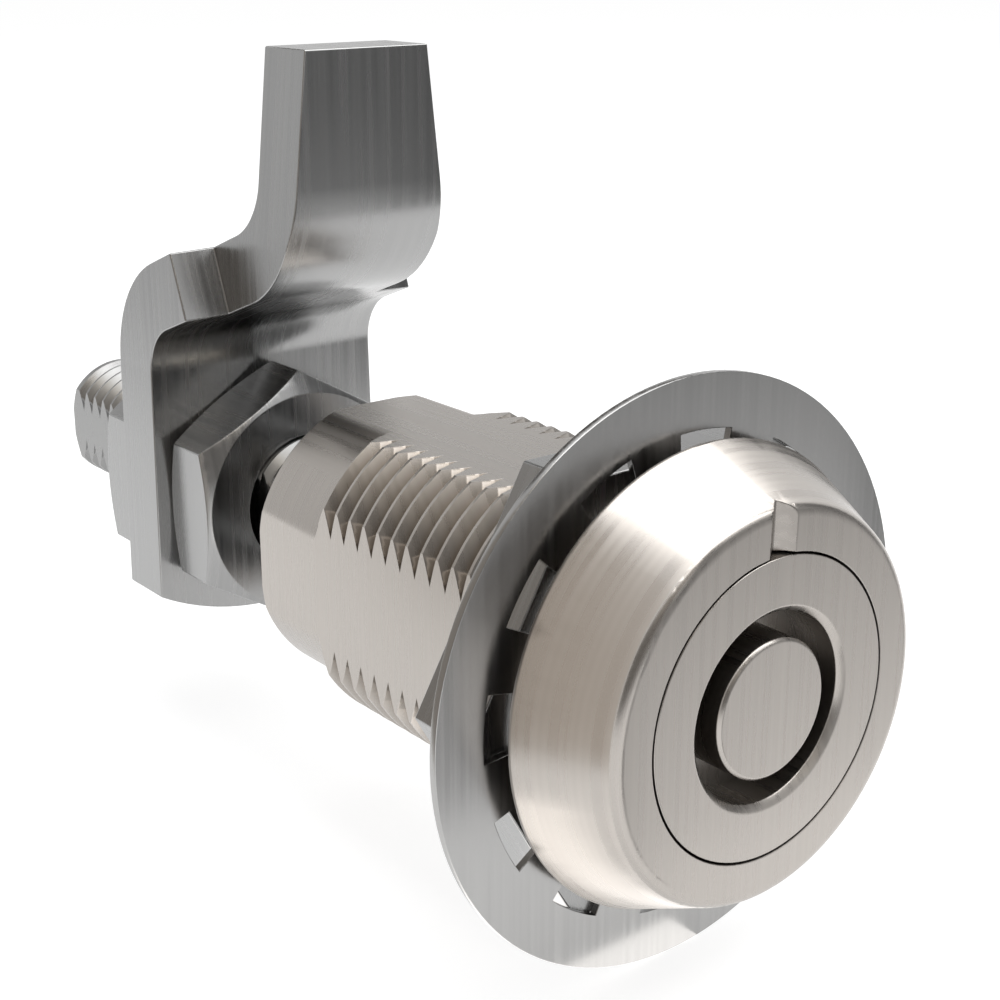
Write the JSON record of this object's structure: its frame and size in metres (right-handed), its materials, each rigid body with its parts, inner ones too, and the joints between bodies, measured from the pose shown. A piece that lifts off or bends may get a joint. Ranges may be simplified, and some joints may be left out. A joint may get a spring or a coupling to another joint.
{
  "type": "compression latch",
  "caption": "Compression latch: round keyed head, flat-sided threaded barrel with panel nut and windowed washer, and an offset cam clamped by nuts on a shaft that pulls it to the panel.",
  "frame": {"origin": "on the latch axis, in the plane of the head's underside where the panel seats", "axes": "+Y along the latch axis from the panel seat to the cam, so the head looks to -Y; +Z towards the tip of the cam; +X to the right seen from the front"},
  "size_m": [0.0358, 0.0775, 0.0515],
  "materials": {
    "satin_nickel": "warm satin nickel, turned on the cone and straight-grained on faces and flats",
    "washer_steel": "straight-brushed stainless steel",
    "nut_steel": "brushed stainless steel",
    "cam_steel": "brushed stainless steel, grained along the finger",
    "shaft_steel": "brushed stainless steel",
    "sleeve_steel": "plain turned steel, inside",
    "spring_steel": "oiled spring steel, inside",
    "seal_rubber": "black nitrile rubber",
    "black_nylon": "black nylon"
  },
  "bodies": {
    "barrel_body": {"housing": "satin_nickel", "friction_washer": "black_nylon", "thrust_washer": "black_nylon", "snap_ring": "spring_steel", "windowed_washer": "washer_steel", "mounting_nut": "nut_steel"},
    "sleeve_body": {"guide_sleeve": "sleeve_steel"},
    "driver_body": {"driver": "satin_nickel", "driver_o_ring": "seal_rubber", "driver_clip": "spring_steel", "spring_seat": "shaft_steel", "return_spring": "spring_steel"},
    "shaft_body": {"threaded_shaft": "shaft_steel", "cross_pin": "spring_steel", "front_cam_nut": "nut_steel", "cam": "cam_steel", "rear_cam_nut": "nut_steel"}
  },
  "joints": [
    {"name": "cam_swing", "type": "hinge", "parent": "barrel_body", "child": "sleeve_body", "pos_m": [0, 0.0272, 0], "axis": [0, 1, 0], "range_deg": [-90, 0]},
    {"name": "key_turn", "type": "hinge", "parent": "sleeve_body", "child": "driver_body", "pos_m": [0, 0, 0], "axis": [0, 1, 0], "range_deg": [0, 90]},
    {"name": "cam_pull", "type": "slide", "parent": "sleeve_body", "child": "shaft_body", "axis": [0, -1, 0], "range_m": [0, 0.006], "deforming": ["return_spring"]}
  ],
  "couplings": [
    {"joint": "key_turn", "follows": "cam_pull", "rad_per_m": 261.8}
  ]
}
